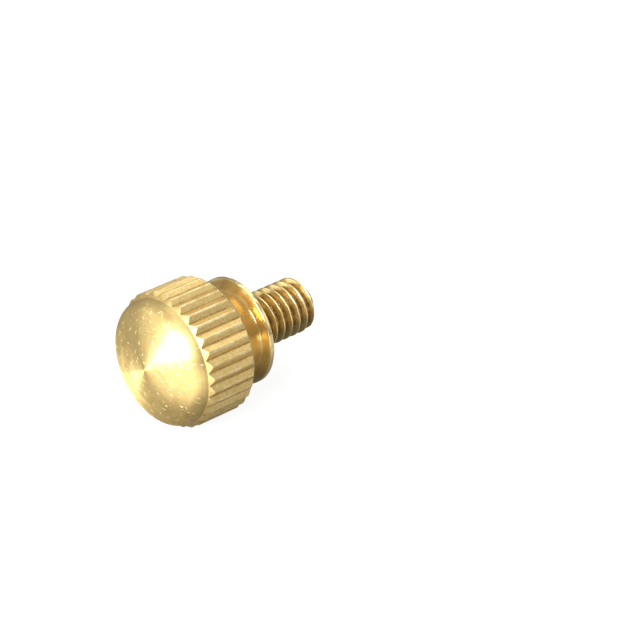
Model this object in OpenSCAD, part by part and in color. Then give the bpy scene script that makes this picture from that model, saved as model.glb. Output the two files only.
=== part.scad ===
// Knurled thumb screw, turned from one brass bar: domed head with a straight
// knurl, tapered neck, seating flange and a short threaded shank.
// It is modelled lying on its knurl, with the thread pointing along +X and
// the origin at the centre of the seating face.

/* [Head] */
// Diameter over the knurl crests
head_d = 9.7; // [8:0.1:14]
// Length of the knurl crests along the axis
knurl_len = 3.4; // [2:0.1:6]
// Height of the dome above its rim
dome_h = 1.75; // [1.5:0.05:2.5]
// Radius of the dome's rounded shoulder
shoulder_r = 1.1; // [0.5:0.1:1.4]
// Chamfer between the dome and the knurl, 45 degrees
dome_chamfer = 0.32; // [0.3:0.01:0.6]
// Chamfer between the knurl and the neck, 45 degrees
neck_chamfer = 0.32; // [0.3:0.01:0.6]

/* [Knurl] */
// Number of grooves around the head
groove_count = 32; // [20:1:40]
// Depth of a groove below the crests
groove_depth = 0.27; // [0.1:0.01:0.28]
// Width of the flat crest left between two grooves
crest_w = 0.15; // [0.05:0.01:0.25]

/* [Neck and flange] */
// Smallest diameter of the neck, under the flange
neck_d = 5.8; // [5:0.1:7]
// Length of the neck cone along the axis
neck_len = 2.1; // [1:0.1:4]
// Diameter of the seating flange
flange_d = 7.7; // [7.2:0.1:8]
// Thickness of the seating flange
flange_t = 0.35; // [0.3:0.05:1]

/* [Shank] */
// Major diameter of the thread
thread_d = 3.92; // [3.6:0.01:4.4]
// Length from the seating face to the tip
shank_len = 6.1; // [4:0.1:20]
// Diameter of the unthreaded collar next to the flange
collar_d = 3.56; // [3:0.01:3.6]
// Length of the unthreaded collar
collar_len = 1.1; // [0.5:0.1:2]
// Corner radius between the collar and the seating face, clear of the thread
cove_r = 0.2; // [0.2:0.05:0.4]
// Diameter of the flat at the tip
tip_d = 2.26; // [1.5:0.01:3]
// Length of the cone at the tip
tip_len = 0.7; // [0.3:0.05:1.5]

/* [Hidden] */
$fn = 96;

head_r = head_d / 2;
pitch_angle = 360 / groove_count;

// Stations along the axis, measured from the seating face towards the tip
flange_z = -flange_t;
neck_z = flange_z - neck_len;
knurl_top_z = neck_z - neck_chamfer;
knurl_bottom_z = knurl_top_z - knurl_len;
dome_rim_z = knurl_bottom_z - dome_chamfer;
dome_top_z = dome_rim_z - dome_h;

// The dome is a flat crown arc that runs into a rounded shoulder at its rim
dome_rim_r = head_r - dome_chamfer;
shoulder_x = dome_rim_r - shoulder_r;
crown_r = (pow(shoulder_x, 2) + pow(dome_h, 2) - pow(shoulder_r, 2)) / (2 * (dome_h - shoulder_r));
crown_z = dome_top_z + crown_r;
crown_angle = atan2(shoulder_x, crown_z - dome_rim_z);

// Where the ray through both arc centres leaves the dome
ray_x = shoulder_x + dome_h * 2 * sin(crown_angle);
ray_z = dome_rim_z - dome_h * 2 * cos(crown_angle);

// Half section of everything but the dome
module body_section() {
    polygon([
        [0, dome_rim_z],
        [dome_rim_r, dome_rim_z],
        [head_r, knurl_bottom_z],
        [head_r, knurl_top_z],
        [head_r - neck_chamfer, neck_z],
        [neck_d / 2, flange_z],
        [flange_d / 2, flange_z],
        [flange_d / 2, 0],
        [collar_d / 2, 0],
        [collar_d / 2, collar_len],
        [thread_d / 2, collar_len + (thread_d - collar_d) / 2],
        [thread_d / 2, shank_len - tip_len],
        [tip_d / 2, shank_len],
        [0, shank_len]
    ]);
}

// Half section of the crown, with its arc centred on the axis
module crown_section() {
    intersection() {
        translate([0, crown_z]) circle(r = crown_r);
        polygon([
            [0, dome_rim_z],
            [shoulder_x, dome_rim_z],
            [ray_x, ray_z],
            [0, ray_z]
        ]);
    }
}

// Half section of the shoulder, upright where it meets the rim
module shoulder_section() {
    intersection() {
        translate([shoulder_x, dome_rim_z]) circle(r = shoulder_r);
        polygon([
            [shoulder_x, dome_rim_z],
            [ray_x, ray_z],
            [head_r, ray_z],
            [head_r, dome_rim_z]
        ]);
    }
}

// Half section of the corner radius, reaching into the collar and the flange
module cove_section() {
    collar_r = collar_d / 2;
    difference() {
        translate([collar_r - cove_r, -flange_t / 2])
            square([cove_r * 2, cove_r + flange_t / 2]);
        translate([collar_r + cove_r, cove_r]) circle(r = cove_r);
    }
}

module turned_blank() {
    rotate_extrude() body_section();
    rotate_extrude() crown_section();
    rotate_extrude() shoulder_section();
    rotate_extrude() cove_section();
}

// One V groove of the knurl, as seen along the axis
module groove_section() {
    half_angle = pitch_angle / 2;
    crest_angle = asin(crest_w / 2 / head_r);
    edge_x = head_r * cos(half_angle - crest_angle);
    edge_y = head_r * sin(half_angle - crest_angle);
    root_x = head_r - groove_depth;
    run_out = edge_x - root_x;
    polygon([
        [root_x, 0],
        [edge_x + run_out, edge_y * 2],
        [edge_x + run_out, -edge_y * 2]
    ]);
}

module knurl_section() {
    difference() {
        circle(r = head_r);
        for (i = [0 : groove_count - 1])
            rotate(i * pitch_angle) groove_section();
    }
}

module thumb_screw() {
    color("goldenrod")
    rotate([0, 90, 0])
    intersection() {
        turned_blank();
        translate([0, 0, dome_top_z])
            linear_extrude(height = shank_len - dome_top_z) knurl_section();
    }
}

thumb_screw();
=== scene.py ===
# %% [markdown]
# # A knurled brass thumb screw
# The screw is turned from one brass bar: a domed head with a straight knurl, a
# tapered neck, a thin seating flange and a short threaded shank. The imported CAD
# part is loaded first and fixes the size and the place, so everything made
# here is drawn around it and in the same metres.

import math

import bmesh
import bpy
from mathutils import Matrix, Vector, noise


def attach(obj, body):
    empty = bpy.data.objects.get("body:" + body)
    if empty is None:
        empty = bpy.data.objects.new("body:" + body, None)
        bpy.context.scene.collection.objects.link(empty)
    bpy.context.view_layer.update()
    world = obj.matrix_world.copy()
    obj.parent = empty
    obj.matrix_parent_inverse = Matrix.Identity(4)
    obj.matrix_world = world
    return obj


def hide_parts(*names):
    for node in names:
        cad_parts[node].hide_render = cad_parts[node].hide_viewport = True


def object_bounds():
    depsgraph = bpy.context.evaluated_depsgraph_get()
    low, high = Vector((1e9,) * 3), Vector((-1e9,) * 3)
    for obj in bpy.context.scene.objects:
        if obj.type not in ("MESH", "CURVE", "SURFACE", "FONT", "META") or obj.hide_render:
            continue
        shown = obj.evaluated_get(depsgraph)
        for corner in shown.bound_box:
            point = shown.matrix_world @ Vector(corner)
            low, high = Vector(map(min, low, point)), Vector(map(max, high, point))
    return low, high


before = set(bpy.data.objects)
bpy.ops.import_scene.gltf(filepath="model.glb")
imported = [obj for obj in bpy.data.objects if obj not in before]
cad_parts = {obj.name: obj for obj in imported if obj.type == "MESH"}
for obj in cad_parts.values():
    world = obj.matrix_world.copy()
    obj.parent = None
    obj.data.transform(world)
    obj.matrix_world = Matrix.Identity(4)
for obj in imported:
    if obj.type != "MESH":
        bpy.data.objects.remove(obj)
cad_low, cad_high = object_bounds()
print("frame box in mm:", [round(1000 * v, 2) for v in (*cad_low, *cad_high)])

# %% [markdown]
# ## The lathe profile
# A lathe cuts a shape that depends on two numbers only: how far along the bar
# the tool is, and how far from the axis. That outline is written down once, in
# millimetres, with the seating face at zero and the thread towards +X. The
# dome is a wide arc that runs into a small shoulder arc, so the two share a
# tangent and no line shows where they meet.

# %% Profile of the head
MM = 0.001
HEAD_R = 4.85
KNURL_LEN = 3.4
KNURL_CHAMFER = 0.32
DOME_H = 1.75
SHOULDER_R = 1.1
FLANGE_T = 0.35
NECK_LEN = 2.1

flange_x = -FLANGE_T
neck_x = flange_x - NECK_LEN
knurl_end = neck_x - KNURL_CHAMFER
knurl_start = knurl_end - KNURL_LEN
rim_x = knurl_start - KNURL_CHAMFER
rim_r = HEAD_R - KNURL_CHAMFER


def arc(centre, radius, start_deg, end_deg, count):
    """Points of an arc as (along, radius) pairs; 0 degrees points to -X."""
    points = []
    for i in range(count + 1):
        a = math.radians(start_deg + (end_deg - start_deg) * i / count)
        points.append((centre[0] - radius * math.cos(a), centre[1] + radius * math.sin(a)))
    return points


def line(start, end, count):
    """Evenly spaced points between two profile points, without the first."""
    return [
        tuple(s + (e - s) * i / count for s, e in zip(start, end))
        for i in range(1, count + 1)
    ]


CROWN_ROWS = 20
SHOULDER_ROWS = 12
KNURL_ROWS = 24
shoulder_r0 = rim_r - SHOULDER_R
crown_r = (shoulder_r0**2 + DOME_H**2 - SHOULDER_R**2) / (2 * (DOME_H - SHOULDER_R))
crown_x = rim_x - DOME_H + crown_r
crown_deg = math.degrees(math.atan2(shoulder_r0, crown_x - rim_x))

profile = arc((crown_x, 0), crown_r, 0, crown_deg, CROWN_ROWS)
profile += arc((rim_x, shoulder_r0), SHOULDER_R, crown_deg, 90, SHOULDER_ROWS)[1:]
profile.append((knurl_start, HEAD_R))
profile += line((knurl_start, HEAD_R), (knurl_end, HEAD_R), KNURL_ROWS)
profile.append((neck_x, rim_r))
print("dome crown radius in mm:", round(crown_r, 2), "points so far:", len(profile))

# %% [markdown]
# ## Neck, flange and collar
# The neck is a plain cone that ends in a small tool radius under the flange.
# The outer edges of a turned flange are broken so that they don't cut fingers,
# and that tiny round is what catches the light as a bright line. A cove, the
# mark of the tool's nose, joins the flange to the collar.

# %% Profile of the neck, flange and collar
NECK_R = 2.9
FLANGE_R = 3.85
COLLAR_R = 1.78
COVE_R = 0.2
EDGE_R = 0.06
ROOT_R = 0.1
COLLAR_END = 0.8
NECK_ROWS = 10
FLANGE_ROWS = 4
EDGE_ROWS = 3
SEAT_ROWS = 6
COVE_ROWS = 6
COLLAR_ROWS = 3

# Shares of the tool radius: how far before the flange, and how far above the neck
ROOT_CURVE = ((1.45, 0.35), (0.85, 0.08), (0.45, 0.12), (0.15, 0.4), (0, 0.85))
root_points = [(flange_x - ROOT_R * before, NECK_R + ROOT_R * above) for before, above in ROOT_CURVE]
flange_edge_r = FLANGE_R - EDGE_R
cove_top_r = COLLAR_R + COVE_R
cove_angles = [math.radians(90 * i / COVE_ROWS) for i in range(1, COVE_ROWS + 1)]

profile += line((neck_x, rim_r), root_points[0], NECK_ROWS)
profile += root_points[1:]
profile += line(root_points[-1], (flange_x, flange_edge_r), FLANGE_ROWS)
profile += arc((flange_x + EDGE_R, flange_edge_r), EDGE_R, 0, 90, EDGE_ROWS)[1:]
profile += arc((-EDGE_R, flange_edge_r), EDGE_R, 90, 180, EDGE_ROWS)
profile += line((0, flange_edge_r), (0, cove_top_r), SEAT_ROWS)
profile += [(COVE_R - COVE_R * math.cos(a), cove_top_r - COVE_R * math.sin(a)) for a in cove_angles]
profile += line((COVE_R, COLLAR_R), (COLLAR_END, COLLAR_R), COLLAR_ROWS)
print("lathe profile points:", len(profile))

# %% [markdown]
# ## Turning the blank
# `bmesh.ops.spin` does what the lathe does: it carries the outline once round
# the axis. The number of steps is a multiple of the number of knurl grooves,
# so that every groove gets the same twelve columns of faces.

# %% Spin the profile
GROOVES = 32
COLUMNS_PER_GROOVE = 12
MERGE = 0.0005 * MM

screw = bmesh.new()
outline = [screw.verts.new((x * MM, 0, -r * MM)) for x, r in profile]
outline_edges = [screw.edges.new(pair) for pair in zip(outline, outline[1:])]
bmesh.ops.spin(
    screw,
    geom=outline + outline_edges,
    cent=(0, 0, 0),
    axis=(1, 0, 0),
    angle=2 * math.pi,
    steps=GROOVES * COLUMNS_PER_GROOVE,
    use_merge=True,
)
bmesh.ops.remove_doubles(screw, verts=screw.verts, dist=MERGE)
print("blank:", len(screw.verts), "vertices,", len(screw.faces), "faces")

# %% [markdown]
# ## The shape of one groove
# A straight knurl is a row of V grooves. Seen along the axis, half a groove is
# a line from its root to the edge of the flat crest. The columns of vertices
# are gathered at the places where that line turns, so the crest gets a narrow
# worn edge instead of a knife edge.

# %% One groove of the knurl
GROOVE_DEPTH = 0.27
CREST_W = 0.12
CREST_WEAR = 0.03
ROOT_W = 0.03
pitch = 2 * math.pi / GROOVES
column_step = pitch / COLUMNS_PER_GROOVE
flank_end = pitch / 2 - 0.5 * CREST_W / HEAD_R
edge_x, edge_y = HEAD_R * math.cos(flank_end), HEAD_R * math.sin(flank_end)
root_r = HEAD_R - GROOVE_DEPTH


def flank_radius(angle):
    """Radius of a groove's side at an angle from the groove's middle."""
    return root_r * edge_y / (edge_y * math.cos(angle) - (edge_x - root_r) * math.sin(angle))


root_angle = ROOT_W / 2 / root_r
wear_angle = CREST_WEAR / HEAD_R
side_angle = flank_end - wear_angle - root_angle
columns = [
    (0.0, flank_radius(root_angle)),
    (root_angle, flank_radius(root_angle)),
    (root_angle + side_angle / 3, flank_radius(root_angle + side_angle / 3)),
    (root_angle + side_angle * 2 / 3, flank_radius(root_angle + side_angle * 2 / 3)),
    (flank_end - wear_angle, flank_radius(flank_end - wear_angle)),
    (flank_end + wear_angle / 2, HEAD_R),
    (pitch / 2, HEAD_R),
]
print("half a groove, radii in mm:", [round(r, 3) for _, r in columns])

# %% [markdown]
# ## Cutting the knurl
# Each vertex of the plain band is moved to its column of the groove. The rows
# also slide along the axis, and the two end rows so far that they stay on their
# chamfers, which gives the pointed ends that a chamfered knurl shows. A little
# noise on the crests stands for the tears that a knurling wheel leaves, and the
# end edges are rounded by a fine bevel.

# %% Cut the knurl
NEAR = 0.001
TEAR_DEPTH = 0.008
TEAR_SCALE = (3.1, 21.0)
TEAR_LAYER = 4.0
DENT_DEPTH = 0.1
DENT_LEVEL = 0.42
DENT_SCALE = (1.7, 9.0)
DENT_LAYER = 11.0


def tear(along, turn):
    """How far a crest is torn or dented at one place, in mm."""
    rough = noise.noise(Vector((along * TEAR_SCALE[0], turn * TEAR_SCALE[1], TEAR_LAYER)))
    dent = noise.noise(Vector((along * DENT_SCALE[0], turn * DENT_SCALE[1], DENT_LAYER)))
    return TEAR_DEPTH * abs(rough) + DENT_DEPTH * max(0.0, dent - DENT_LEVEL)


def round_edges(edges, wear):
    """Rounds edges with a fine bevel of the given width in mm."""
    bmesh.ops.bevel(
        screw,
        geom=edges,
        offset=wear * MM,
        offset_type="OFFSET",
        segments=2,
        profile=0.5,
        affect="EDGES",
        material=-1,
        clamp_overlap=True,
    )


FIRST_WORN_COLUMN = 4
END_FADE = 12
END_WEAR = 0.022
knurl_ends = set()
band = [v for v in screw.verts if abs(math.hypot(v.co.y, v.co.z) / MM - HEAD_R) < NEAR]
for v in band:
    along = v.co.x / MM
    turn = math.atan2(v.co.y, -v.co.z)
    middle = round(turn / pitch) * pitch
    side = math.copysign(1.0, turn - middle)
    column = round(abs(turn - middle) / column_step)
    angle, r = columns[column]
    turn = middle + side * angle
    share = (along - knurl_start) / KNURL_LEN
    if share < NEAR or share > 1 - NEAR:
        knurl_ends.add(v)
    slide = (HEAD_R - r) * (2 * share - 1)
    if column >= FIRST_WORN_COLUMN:
        r -= tear(along, turn) * min(1.0, END_FADE * share, END_FADE * (1 - share))
    v.co = Vector((along + slide, r * math.sin(turn), -r * math.cos(turn))) * MM
end_edges = [e for e in screw.edges if e.verts[0] in knurl_ends and e.verts[1] in knurl_ends]
round_edges(end_edges, END_WEAR)
print("knurl vertices moved:", len(band), "end edges rounded:", len(end_edges))

# %% [markdown]
# ## Rolling the thread
# Here the outline is a straight row of points along the shank, close together
# where the thread's profile turns. It is spun once round the axis while it also
# moves one pitch forward, so the end of each turn meets the start of the next.
# Turning and moving forward together make a right-handed thread.

# %% Spin the thread's rows
PITCH = 0.7
THREAD_R = 1.96
SHANK_LEN = 6.1
COLLAR_LEN = 1.1
THREAD_STEPS = 128

# Places of the rows in half a pitch, from the groove's middle to the crest
HALF_ROWS = (
    0, 0.04, 0.07, 0.09, 0.115, 0.14, 0.165, 0.19, 0.215,
    0.24, 0.265, 0.285, 0.297, 0.313, 0.332,
)
row_places = [*HALF_ROWS, PITCH / 2, *(PITCH - place for place in HALF_ROWS[:0:-1])]
first_turn = -2
last_turn = math.ceil((SHANK_LEN - COLLAR_LEN) / PITCH)
rows = [
    screw.verts.new(((COLLAR_LEN + turn * PITCH + place) * MM, 0, -THREAD_R * MM))
    for turn in range(first_turn, last_turn + 1)
    for place in row_places
]
row_edges = [screw.edges.new(pair) for pair in zip(rows, rows[1:])]
before_thread = set(screw.faces)
bmesh.ops.spin(
    screw,
    geom=rows + row_edges,
    cent=(0, 0, 0),
    axis=(1, 0, 0),
    dvec=(PITCH / THREAD_STEPS * MM, 0, 0),
    angle=2 * math.pi,
    steps=THREAD_STEPS,
)
thread_faces = [f for f in screw.faces if f not in before_thread]
thread_verts = list({v for f in thread_faces for v in f.verts})
print("thread rows:", len(rows), "thread faces:", len(thread_faces))

# %% [markdown]
# ## Cutting the thread and its ends
# Near the flange the groove starts outside the shank and sinks in as it leaves
# the collar, and at the tip a cone is turned so that the screw finds its hole.
# Each is a limit on the radius, and a vertex keeps the smallest one. What lies
# beyond the shank's two ends is folded into plain rings and merged there.

# %% Cut the thread
THREAD_DEPTH = 0.38
ROOT_FLAT = 0.16
CREST_FLAT = 0.09
RUN_IN_TURNS = 0.4
TIP_R = 1.13
TIP_LEN = 0.7
THREAD_START = 0.85
TINY = 0.0002 * MM
side_slope = (PITCH - ROOT_FLAT - CREST_FLAT) / 2 / THREAD_DEPTH
groove_h = THREAD_DEPTH + CREST_FLAT / 4 / side_slope


def shank_radius(along, turns):
    """Radius of the threaded shank at a place along it and round it."""
    collar = COLLAR_R + max(0.0, along - COLLAR_LEN)
    cone = TIP_R + (SHANK_LEN - along) * (THREAD_R - TIP_R) / TIP_LEN
    nearest = round((along - COLLAR_LEN) / PITCH - turns) + turns
    if nearest < 0:
        return min(collar, cone, THREAD_R)
    off_middle = abs(along - COLLAR_LEN - nearest * PITCH)
    lift = groove_h * (1 - min(1.0, nearest / RUN_IN_TURNS))
    bottom = THREAD_R - THREAD_DEPTH + lift
    groove = bottom + max(0.0, off_middle - ROOT_FLAT / 2) / side_slope
    return min(collar, cone, THREAD_R, groove)


for v in thread_verts:
    along = min(max(v.co.x / MM, THREAD_START), SHANK_LEN)
    turn = math.atan2(v.co.y, -v.co.z) % (2 * math.pi)
    r = shank_radius(along, turn / (2 * math.pi))
    v.co = Vector((along, r * math.sin(turn), -r * math.cos(turn))) * MM
bmesh.ops.remove_doubles(screw, verts=thread_verts, dist=MERGE)
bmesh.ops.dissolve_degenerate(screw, dist=TINY, edges=screw.edges)

# %% [markdown]
# ## Closing the shank
# Two places are still open: the tip and the joint in the collar. The tip is
# filled with one flat face and its edge is rounded, and `bridge_loops` joins
# the collar's ring to the first ring of the thread.


# %% Close the tip and the collar
def open_ring(low, high):
    """Open edges whose ends both lie between two places along the axis, in mm."""
    return [
        e
        for e in screw.edges
        if e.is_boundary and all(low * MM < v.co.x < high * MM for v in e.verts)
    ]


TIP_WEAR = 0.04
tip_edges = open_ring(SHANK_LEN - NEAR, SHANK_LEN + NEAR)
bmesh.ops.edgeloop_fill(screw, edges=tip_edges)
round_edges(tip_edges, TIP_WEAR)
joint_edges = open_ring(COLLAR_END - NEAR, THREAD_START + NEAR)
bmesh.ops.bridge_loops(screw, edges=joint_edges)
bmesh.ops.recalc_face_normals(screw, faces=screw.faces)
still_open = [e for e in screw.edges if not e.is_manifold]
print("tip edges:", len(tip_edges), "joint edges:", len(joint_edges))
print("still open:", len(still_open))

# %% [markdown]
# ## Nicks in the flange
# The flange's thin rim is the part that knocks against hard things first.
# Smooth noise is read round the rim, and only its peaks push the edge inwards,
# so most of the rim stays true and a few nicks are left.

# %% Nick the flange's rim
NICK_DEPTH = 0.16
NICK_LEVEL = 0.3
NICKS_PER_MM = 2.3
RIM_MARGIN = 0.01
nicked = 0
for v in screw.verts:
    along, r = v.co.x / MM, math.hypot(v.co.y, v.co.z) / MM
    if r > flange_edge_r and flange_x - RIM_MARGIN < along < RIM_MARGIN:
        peak = noise.noise(v.co / MM * NICKS_PER_MM) - NICK_LEVEL
        if peak > 0:
            push = 1 - NICK_DEPTH * peak / r
            v.co.y, v.co.z = v.co.y * push, v.co.z * push
            nicked += 1
print("vertices nicked:", nicked)

# %% [markdown]
# ## Regions and shading
# The faces are sorted by where they lie: dome, knurl, turned neck and flange,
# thread, and the teeth at the ends of the knurl. Each region gets its own
# finish later. Edges that turn sharply are marked sharp and the rest are shaded
# smooth, as on a freshly cut part.

# %% Sort the faces and make the object
DOME, KNURL, TURNED, THREAD, TEETH = range(5)
TEETH_SLOPE = 0.3
SHARP_DEG = 28
for face in screw.faces:
    along = face.calc_center_median().x / MM
    face.smooth = True
    if along < rim_x:
        face.material_index = DOME
    elif along < neck_x:
        face.material_index = KNURL if abs(face.normal.x) < TEETH_SLOPE else TEETH
    elif THREAD_START < along < SHANK_LEN - TIP_LEN / 2:
        face.material_index = THREAD
    else:
        face.material_index = TURNED

mesh = bpy.data.meshes.new("thumb_screw_turned")
screw.to_mesh(mesh)
screw.free()
mesh.set_sharp_from_angle(angle=math.radians(SHARP_DEG))
piece = bpy.data.objects.new("thumb_screw_turned", mesh)
bpy.context.scene.collection.objects.link(piece)
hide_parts("thumb_screw")
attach(piece, "root")
mesh.calc_loop_triangles()
print("triangles:", len(mesh.loop_triangles))

# %% [markdown]
# ## Brass
# Brass mirrors its surroundings and tints them yellow. What tells one region
# from another is how the tool left it: fine rings on turned faces, which
# stretch a highlight across the rings, and a dull grain on the knurl. All
# patterns are read from the object's own coordinates, in millimetres.


# %% Node helpers
def add(tree, kind, **settings):
    """A new node with its settings."""
    node = tree.nodes.new(kind)
    for name, value in settings.items():
        setattr(node, name, value)
    return node


def feed(tree, node, socket, value):
    """Links a socket, or sets its plain value."""
    if hasattr(value, "is_output"):
        tree.links.new(value, node.inputs[socket])
    else:
        node.inputs[socket].default_value = value


def maths(tree, operation, a, b=0.0):
    """A Math node's output."""
    node = add(tree, "ShaderNodeMath", operation=operation)
    feed(tree, node, 0, a)
    feed(tree, node, 1, b)
    return node.outputs[0]


def spread(tree, value, low, high, to_low, to_high):
    """Maps a value from one range to another, held at both ends."""
    node = add(tree, "ShaderNodeMapRange")
    for socket, number in enumerate((value, low, high, to_low, to_high)):
        feed(tree, node, socket, number)
    return node.outputs[0]


def grain(tree, place, scale, detail=2.0):
    """Noise in space, with its scale in spots per millimetre."""
    node = add(tree, "ShaderNodeTexNoise")
    feed(tree, node, "Vector", place)
    feed(tree, node, "Scale", scale)
    feed(tree, node, "Detail", detail)
    return node.outputs["Fac"]


def stretched(tree, place, scale):
    """Coordinates drawn out along the axes where the scale is small."""
    node = add(tree, "ShaderNodeVectorMath", operation="MULTIPLY")
    feed(tree, node, 0, place)
    node.inputs[1].default_value = scale
    return node.outputs[0]


# %% [markdown]
# ## Short scratches
# A head that has been handled and stored loose carries short scratches that
# point every way. A cell texture cuts the surface into cells and gives each one
# a middle and a random colour. One part of that colour sets the direction of a
# dash through the middle, and another part how strong the dash is.

# %% Scratches
DASH_LENGTH_FADE = (0.35, 0.5)
DASH_WIDTH_FADE = (0.2, 0.5)
DASH_CHANCE = (0.4, 0.75)


def faded(tree, value, size, fade):
    """1 near the middle of a size and 0 at its edge, with the fade as shares of the size."""
    off_middle = maths(tree, "ABSOLUTE", value)
    return spread(tree, off_middle, size * fade[0], size * fade[1], 1, 0)


def dashes(tree, place, cells, length, width):
    """A mask of short dashes, some faint, in part of the cells; sizes in millimetres."""
    cell = add(tree, "ShaderNodeTexVoronoi")
    feed(tree, cell, "Vector", place)
    feed(tree, cell, "Scale", cells)
    off = add(tree, "ShaderNodeVectorMath", operation="SUBTRACT")
    feed(tree, off, 0, place)
    feed(tree, off, 1, cell.outputs["Position"])
    chance = add(tree, "ShaderNodeSeparateXYZ")
    feed(tree, chance, 0, cell.outputs["Color"])
    turned = add(tree, "ShaderNodeVectorRotate", rotation_type="X_AXIS")
    feed(tree, turned, "Vector", off.outputs[0])
    feed(tree, turned, "Angle", maths(tree, "MULTIPLY", chance.outputs["X"], 2 * math.pi))
    local = add(tree, "ShaderNodeSeparateXYZ")
    feed(tree, local, 0, turned.outputs[0])
    along = faded(tree, local.outputs["Y"], length, DASH_LENGTH_FADE)
    across = faded(tree, local.outputs["Z"], width, DASH_WIDTH_FADE)
    kept = spread(tree, chance.outputs["Y"], *DASH_CHANCE, 1, 0)
    return maths(tree, "MULTIPLY", maths(tree, "MULTIPLY", along, across), kept)


def scratch_marks(tree, place):
    """Two layers of dashes of different sizes."""
    wider = stretched(tree, place, (1, 0.9, 0.9))
    short = dashes(tree, place, cells=1.6, length=0.24, width=0.07)
    long = dashes(tree, wider, cells=1.3, length=0.3, width=0.06)
    return maths(tree, "MAXIMUM", short, long)


# %% [markdown]
# ## Along the bar and round it
# Turned marks follow the lathe, so the patterns need the distance off the axis,
# the place along it and the direction round it. All three come from the
# object's coordinates: the length of the part across the axis, the X part, and
# the cross product of the axis with the place. The rings are noise in one
# dimension, so they change off the axis and along it but never round it.


# %% Coordinates and rings of the turned surface
def turned_places(tree):
    """The place in millimetres, the distance off the axis, and round and along."""
    scaled = add(tree, "ShaderNodeVectorMath", operation="SCALE")
    feed(tree, scaled, 0, add(tree, "ShaderNodeTexCoord").outputs["Object"])
    feed(tree, scaled, "Scale", 1 / MM)
    place = scaled.outputs[0]
    parts = add(tree, "ShaderNodeSeparateXYZ")
    feed(tree, parts, 0, place)
    off_axis = add(tree, "ShaderNodeVectorMath", operation="LENGTH")
    feed(tree, off_axis, 0, stretched(tree, place, (0, 1, 1)))
    around = add(tree, "ShaderNodeVectorMath", operation="CROSS_PRODUCT")
    around.inputs[0].default_value = (1, 0, 0)
    feed(tree, around, 1, place)
    return place, off_axis.outputs["Value"], around.outputs[0], parts.outputs["X"]


RINGS_PER_MM = 16.0
RING_SHEAR = 0.8


def turning_rings(tree, off_axis, along):
    """Noise that changes only across the rings that the tool leaves on the metal."""
    ring = add(tree, "ShaderNodeTexNoise", noise_dimensions="1D")
    feed(tree, ring, "W", maths(tree, "ADD", off_axis, maths(tree, "MULTIPLY", along, RING_SHEAR)))
    feed(tree, ring, "Scale", RINGS_PER_MM)
    feed(tree, ring, "Detail", 3.0)
    return ring.outputs["Fac"]


# %% [markdown]
# ## The metal's skin
# Old brass is not one colour. It ages in soft patches, the bottom of its grooves
# is darkened with painted shade, and its crests are brightened, partly as wear
# where fingers and other parts rub them and partly as a painted highlight. Each
# of these is a mask that mixes one more colour over the last.

# %% Colour of the skin
BRASS = (0.83, 0.63, 0.26)
POLISHED = (0.95, 0.76, 0.41)
AGED = (0.95, 0.92, 0.86)
# A dark brown for dirt specks and dark turning rings, and for the painted shade in the groove roots.
GRIME_AND_SHADE = (0.3, 0.16, 0.05)
# Bright bare metal for the scratches, and for the rubbed crests, where it also paints a highlight.
BARE_AND_HIGHLIGHT = (1.0, 0.86, 0.52)
SPECK_LEVELS = (0.4, 0.65)
SPECK_SHARE = 0.2

# Places of the colour sockets on a Mix node
MIX_FIRST = 6
MIX_SECOND = 7
MIX_RESULT = 2


def mixed(tree, share, first, second):
    """A colour between two colours."""
    node = add(tree, "ShaderNodeMix", data_type="RGBA")
    feed(tree, node, 0, share)
    for socket, colour in ((MIX_FIRST, first), (MIX_SECOND, second)):
        feed(tree, node, socket, colour if hasattr(colour, "is_output") else (*colour, 1))
    return node.outputs[MIX_RESULT]


def patches(tree, place, spots, levels, shares, detail=2.0):
    """Noise as a share: its spots per millimetre, two noise levels and the shares there."""
    return spread(tree, grain(tree, place, spots, detail), *levels, *shares)


def skin(tree, place, off_axis, speck, grit, root_shade, wear_and_highlight, clean):
    """The metal's colour: aged patches, painted shade in the grooves, specks, and crests brightened by
    wear and a painted highlight.
    """
    aged = [channel * shade for channel, shade in zip(clean, AGED)]
    patchy = patches(tree, place, spots=2.5, levels=(0.35, 0.65), shares=(0, 1), detail=4.0)
    colour = mixed(tree, patchy, clean, aged)
    # Painted shade: the colour darkens towards the groove roots, broken up by noise.
    if root_shade:
        left = patches(tree, place, spots=3.0, levels=(0.3, 0.6), shares=(0.35, 0.9))
        root_shaded = maths(tree, "MULTIPLY", spread(tree, off_axis, *root_shade, 1, 0), left)
        colour = mixed(tree, root_shaded, colour, GRIME_AND_SHADE)
    colour = mixed(tree, spread(tree, speck, *SPECK_LEVELS, 0, SPECK_SHARE * grit), colour, GRIME_AND_SHADE)
    # Partly real wear and partly a painted highlight: the colour brightens towards the crests, broken
    # up by noise.
    if wear_and_highlight:
        broken = patches(tree, place, spots=2.0, levels=(0.4, 0.6), shares=(0.05, 0.65), detail=3.0)
        rubbed_and_highlit = maths(tree, "MULTIPLY", spread(tree, off_axis, *wear_and_highlight, 0, 1), broken)
        colour = mixed(tree, rubbed_and_highlit, colour, BARE_AND_HIGHLIGHT)
    return colour


# %% [markdown]
# ## One recipe, five finishes
# The recipe takes the roughness, the strength of the turning rings, of the
# grain and of the scratches, and the radii where painted shade darkens a groove
# and where wear with a painted highlight brightens a crest. The tangent runs round
# the axis, and a quarter turn of the anisotropy stretches highlights across the rings.

# %% Recipe for the brass
QUARTER_TURN = 0.25
SPECKS_PER_MM = 8.0
STREAKS_PER_MM = (2.0, 16.0, 16.0)
RING_LEVELS = (0.4, 0.7)
RING_SHARE = 0.35
MARK_SHARE = 0.8
MARK_HEIGHT = 0.01 * MM
ROUGH_LEVELS = (0.3, 0.7)
SMOOTHER = 0.88
ROUGHER = 1.15


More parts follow.
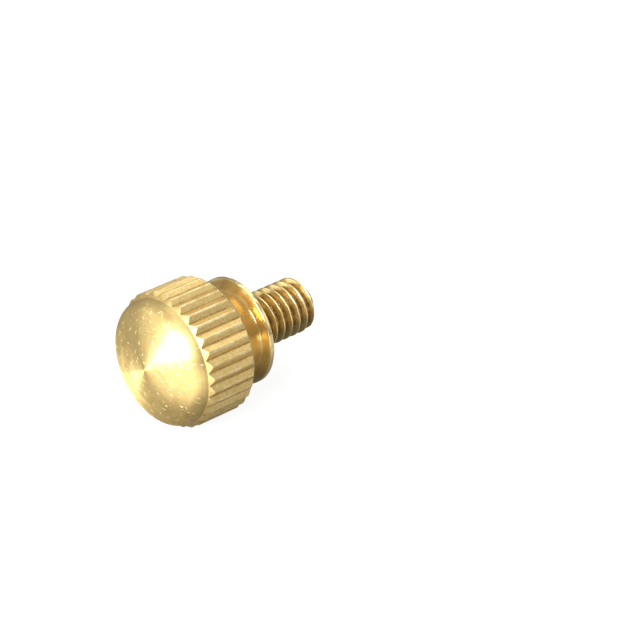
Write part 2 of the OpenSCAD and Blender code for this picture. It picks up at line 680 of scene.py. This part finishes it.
def brass(name, roughness, anisotropy, rings, grit, scratches=0.0, root_shade=None, wear_and_highlight=None, clean=BRASS):
    """A brass material for one region of the screw."""
    material = bpy.data.materials.new(name)
    material.use_nodes = True
    tree = material.node_tree
    shader = tree.nodes["Principled BSDF"]
    shader.inputs["Metallic"].default_value = 1.0
    shader.inputs["Anisotropic"].default_value = anisotropy
    shader.inputs["Anisotropic Rotation"].default_value = QUARTER_TURN
    place, off_axis, around, along = turned_places(tree)
    feed(tree, shader, "Tangent", around)
    limits = (roughness * SMOOTHER, roughness * ROUGHER)
    feed(tree, shader, "Roughness", patches(tree, place, spots=1.3, levels=ROUGH_LEVELS, shares=limits))

    ring = turning_rings(tree, off_axis, along)
    speck = grain(tree, place, SPECKS_PER_MM, detail=3.0)
    streak = grain(tree, stretched(tree, place, STREAKS_PER_MM), scale=1.0, detail=3.0)
    coarse = maths(tree, "MULTIPLY", maths(tree, "ADD", streak, speck), grit)
    height = maths(tree, "ADD", maths(tree, "MULTIPLY", ring, rings), coarse)
    colour = skin(tree, place, off_axis, speck, grit, root_shade, wear_and_highlight, clean)
    colour = mixed(tree, spread(tree, ring, *RING_LEVELS, 0, RING_SHARE * rings), colour, GRIME_AND_SHADE)
    if scratches:
        marks = scratch_marks(tree, place)
        height = maths(tree, "ADD", height, maths(tree, "MULTIPLY", marks, scratches))
        colour = mixed(tree, maths(tree, "MULTIPLY", marks, MARK_SHARE), colour, BARE_AND_HIGHLIGHT)
    feed(tree, shader, "Base Color", colour)

    bump = add(tree, "ShaderNodeBump")
    bump.inputs["Distance"].default_value = MARK_HEIGHT
    feed(tree, bump, "Height", height)
    feed(tree, shader, "Normal", bump.outputs[0])
    return material


# %% [markdown]
# ## The five finishes
# The dome was turned with fine rings and has the strongest anisotropy. The knurl
# and its teeth were pressed by a wheel, which leaves them grainy. The neck and
# the flange are the smoothest. The thread's grooves are darkened with painted
# shade, and its crests are brightened by wear and a painted highlight.

# %% Finishes
# Radii in mm between which the painted shade in the grooves fades out and the crests' wear and painted
# highlight set in
knurl_root_shade = (root_r, root_r + 0.06)
knurl_wear_and_highlight = (HEAD_R - 0.05, HEAD_R - 0.02)
thread_root_shade = (THREAD_R - 0.34, THREAD_R - 0.01)
thread_wear_and_highlight = (THREAD_R - 0.04, THREAD_R - 0.01)
finishes = {
    DOME: brass("brass_dome", roughness=0.45, anisotropy=0.79, rings=0.6, grit=0.2, scratches=1.0),
    KNURL: brass(
        "brass_knurl", roughness=0.42, anisotropy=0.0, rings=0.0, grit=1.5,
        root_shade=knurl_root_shade,
        wear_and_highlight=knurl_wear_and_highlight,
    ),
    TURNED: brass("brass_turned", roughness=0.2, anisotropy=0.5, rings=0.5, grit=0.06, clean=POLISHED),
    THREAD: brass(
        "brass_thread", roughness=0.26, anisotropy=0.2, rings=0.2, grit=0.5,
        root_shade=thread_root_shade,
        wear_and_highlight=thread_wear_and_highlight,
    ),
    TEETH: brass("brass_teeth", roughness=0.45, anisotropy=0.0, rings=0.0, grit=1.0),
}
for region in sorted(finishes):
    mesh.materials.append(finishes[region])
print("finishes:", [m.name for m in mesh.materials])

# %% [markdown]
# ## The floor
# The screw lies on a wide sheet of paper at the height of its lowest crests.

# %% Floor
FLOOR_HALF = 0.6
floor_z = cad_low.z
floor_mesh = bpy.data.meshes.new("floor")
floor_bm = bmesh.new()
bmesh.ops.create_grid(floor_bm, x_segments=1, y_segments=1, size=FLOOR_HALF)
bmesh.ops.translate(floor_bm, verts=floor_bm.verts, vec=(0, 0, floor_z))
floor_bm.to_mesh(floor_mesh)
floor_bm.free()
floor = bpy.data.objects.new("floor", floor_mesh)
bpy.context.scene.collection.objects.link(floor)
print("floor height in mm:", round(floor_z / MM, 3))

# %% [markdown]
# ## White paper that the brass can use
# A product shot on white needs a floor that comes out white, while the metal
# needs darker and brighter places to mirror, or it would lose its shape. Light
# Path tells the two apart: to camera rays the paper glows white all over. To
# glossy rays it shows painted light that no lamp casts: a painted shadow round
# the screw, pale on the near side, a bright painted pool of light in front of the
# dome and dim on the far side.

# %% Paper
PAPER_GREY = (0.18, 0.18, 0.18, 1)
WHITE_GLOW = 0.88

# Where each zone starts and ends along X or Y, and the light there
HEAD_ZONE = (-9.8 * MM, -12.5 * MM)
HEAD_GLOW = (0.0, 1.8)
RIGHT_ZONE = (-6 * MM, -11 * MM)
RIGHT_GLOW = (0.1, 0.5)
NEAR_ZONE = (6 * MM, 2 * MM)
NEAR_SHARE = (0.2, 1.0)

paper = bpy.data.materials.new("floor_paper")
paper.use_nodes = True
tree = paper.node_tree
tree.nodes.remove(tree.nodes["Principled BSDF"])
rays = add(tree, "ShaderNodeLightPath")
matte = add(tree, "ShaderNodeBsdfDiffuse")
matte.inputs["Color"].default_value = PAPER_GREY
floor_place = add(tree, "ShaderNodeSeparateXYZ")
feed(tree, floor_place, 0, add(tree, "ShaderNodeTexCoord").outputs["Object"])
# Painted light for glossy rays only: a glowing pool before the head, a pale glow on the near side, and
# painted shade round the screw and on the far side.
before_head = spread(tree, floor_place.outputs["X"], *HEAD_ZONE, *HEAD_GLOW)
right_side = spread(tree, floor_place.outputs["Y"], *RIGHT_ZONE, *RIGHT_GLOW)
near_side = spread(tree, floor_place.outputs["Y"], *NEAR_ZONE, *NEAR_SHARE)
painted_floor_glow = maths(tree, "MULTIPLY", maths(tree, "MAXIMUM", before_head, right_side), near_side)
seen = maths(tree, "MULTIPLY", rays.outputs["Is Camera Ray"], WHITE_GLOW)
mirrored = maths(tree, "MULTIPLY", rays.outputs["Is Glossy Ray"], painted_floor_glow)
glow = add(tree, "ShaderNodeEmission")
feed(tree, glow, "Strength", maths(tree, "ADD", seen, mirrored))
both = add(tree, "ShaderNodeAddShader")
tree.links.new(matte.outputs[0], both.inputs[0])
tree.links.new(glow.outputs[0], both.inputs[1])
tree.links.new(both.outputs[0], tree.nodes["Material Output"].inputs["Surface"])
floor_mesh.materials.append(paper)
print("nodes in the paper:", len(tree.nodes))

# %% [markdown]
# ## The room
# The world lights the screw from all round. It is brighter overhead than at the
# horizon, as in a room with a pale ceiling, which shades the thread and the neck
# from top to bottom.

# %% World
HORIZON = 0.28
OVERHEAD = 0.62
CEILING_HEIGHT = 0.8
world = bpy.data.worlds.new("studio")
bpy.context.scene.world = world
world.use_nodes = True
tree = world.node_tree
room = tree.nodes["Background"]
room.inputs["Color"].default_value = (1, 1, 1, 1)
sky = add(tree, "ShaderNodeSeparateXYZ")
feed(tree, sky, 0, add(tree, "ShaderNodeTexCoord").outputs["Generated"])
feed(tree, room, "Strength", spread(tree, sky.outputs["Z"], 0.0, CEILING_HEIGHT, HORIZON, OVERHEAD))
print("room from horizon to ceiling:", HORIZON, OVERHEAD)

# %% [markdown]
# ## Soft boxes
# Brass shows the lamps themselves as its highlights, so their places and sizes
# matter more than their power. A wide, low box in front of the head makes the
# white fan on the dome, and a tall one beside the camera carries the fan over
# the shoulder. Three weak boxes fill the left, the right and the top.

# %% Soft boxes
LAMP_DISTANCE = 0.4


def soft_box(name, towards, size, radiance, upright=(0, 0, 1)):
    """An area light that looks at the screw; its size is a width and a height along upright."""
    lamp = bpy.data.lights.new(name, "AREA")
    lamp.shape = "RECTANGLE"
    lamp.size, lamp.size_y = size
    lamp.energy = radiance * math.pi * size[0] * size[1]
    lamp_object = bpy.data.objects.new(name, lamp)
    back_side = Vector(towards).normalized()
    lamp_object.location = back_side * LAMP_DISTANCE
    across = Vector(upright).cross(back_side).normalized()
    axes = Matrix((across, back_side.cross(across), back_side))
    lamp_object.rotation_mode = "QUATERNION"
    lamp_object.rotation_quaternion = axes.transposed().to_quaternion()
    bpy.context.scene.collection.objects.link(lamp_object)


soft_box("box_head", towards=(-0.985, 0.07, 0.12), size=(0.22, 0.09), radiance=29.0)
soft_box(
    "box_front", towards=(-0.86, -0.26, 0.4), size=(0.18, 0.26), radiance=13.0,
    upright=(0.32, -0.67, 0.67),
)
soft_box("box_left", towards=(-0.76, 0.64, 0.2), size=(0.25, 0.15), radiance=2.2)
soft_box("box_right", towards=(0.66, -0.62, 0.4), size=(0.22, 0.22), radiance=0.7)
soft_box("box_top", towards=(0.4, 0.1, 0.85), size=(0.34, 0.34), radiance=1.15)

# %% [markdown]
# ## The camera
# The camera looks down at the head from in front and from one side. Its place
# follows from two angles, from the focal length and the scale at the seating
# face, both in pixels, and from the pixel where the middle of that face appears.

# %% Camera
AZIMUTH = math.radians(-43.0)
ELEVATION = math.radians(28.8)
PIXELS = 640
PIXELS_PER_MM = 14.62
FOCAL_PIXELS = 2800
SEAT_PIXEL = (236.9, 329.6)
SENSOR = 36
CLIP_START = 0.01
CLIP_END = 10
back = Vector((
    math.sin(AZIMUTH) * math.cos(ELEVATION),
    -math.cos(AZIMUTH) * math.cos(ELEVATION),
    math.sin(ELEVATION),
))
right = Vector((math.cos(AZIMUTH), math.sin(AZIMUTH), 0))
up = back.cross(right)

camera = bpy.data.objects.new("camera", bpy.data.cameras.new("camera"))
camera.data.sensor_width = SENSOR
camera.data.lens = SENSOR * FOCAL_PIXELS / PIXELS
camera.data.clip_start = CLIP_START
camera.data.clip_end = CLIP_END
distance = FOCAL_PIXELS / PIXELS_PER_MM * MM
seat_right = (SEAT_PIXEL[0] - PIXELS / 2) / PIXELS_PER_MM * MM
seat_up = (PIXELS / 2 - SEAT_PIXEL[1]) / PIXELS_PER_MM * MM
camera.location = back * distance - right * seat_right - up * seat_up
camera.rotation_mode = "QUATERNION"
camera.rotation_quaternion = Matrix((right, up, back)).transposed().to_quaternion()
bpy.context.scene.collection.objects.link(camera)
bpy.context.scene.camera = camera
bpy.context.scene.view_settings.view_transform = "Standard"
print("camera distance in mm:", round(distance / MM, 1))
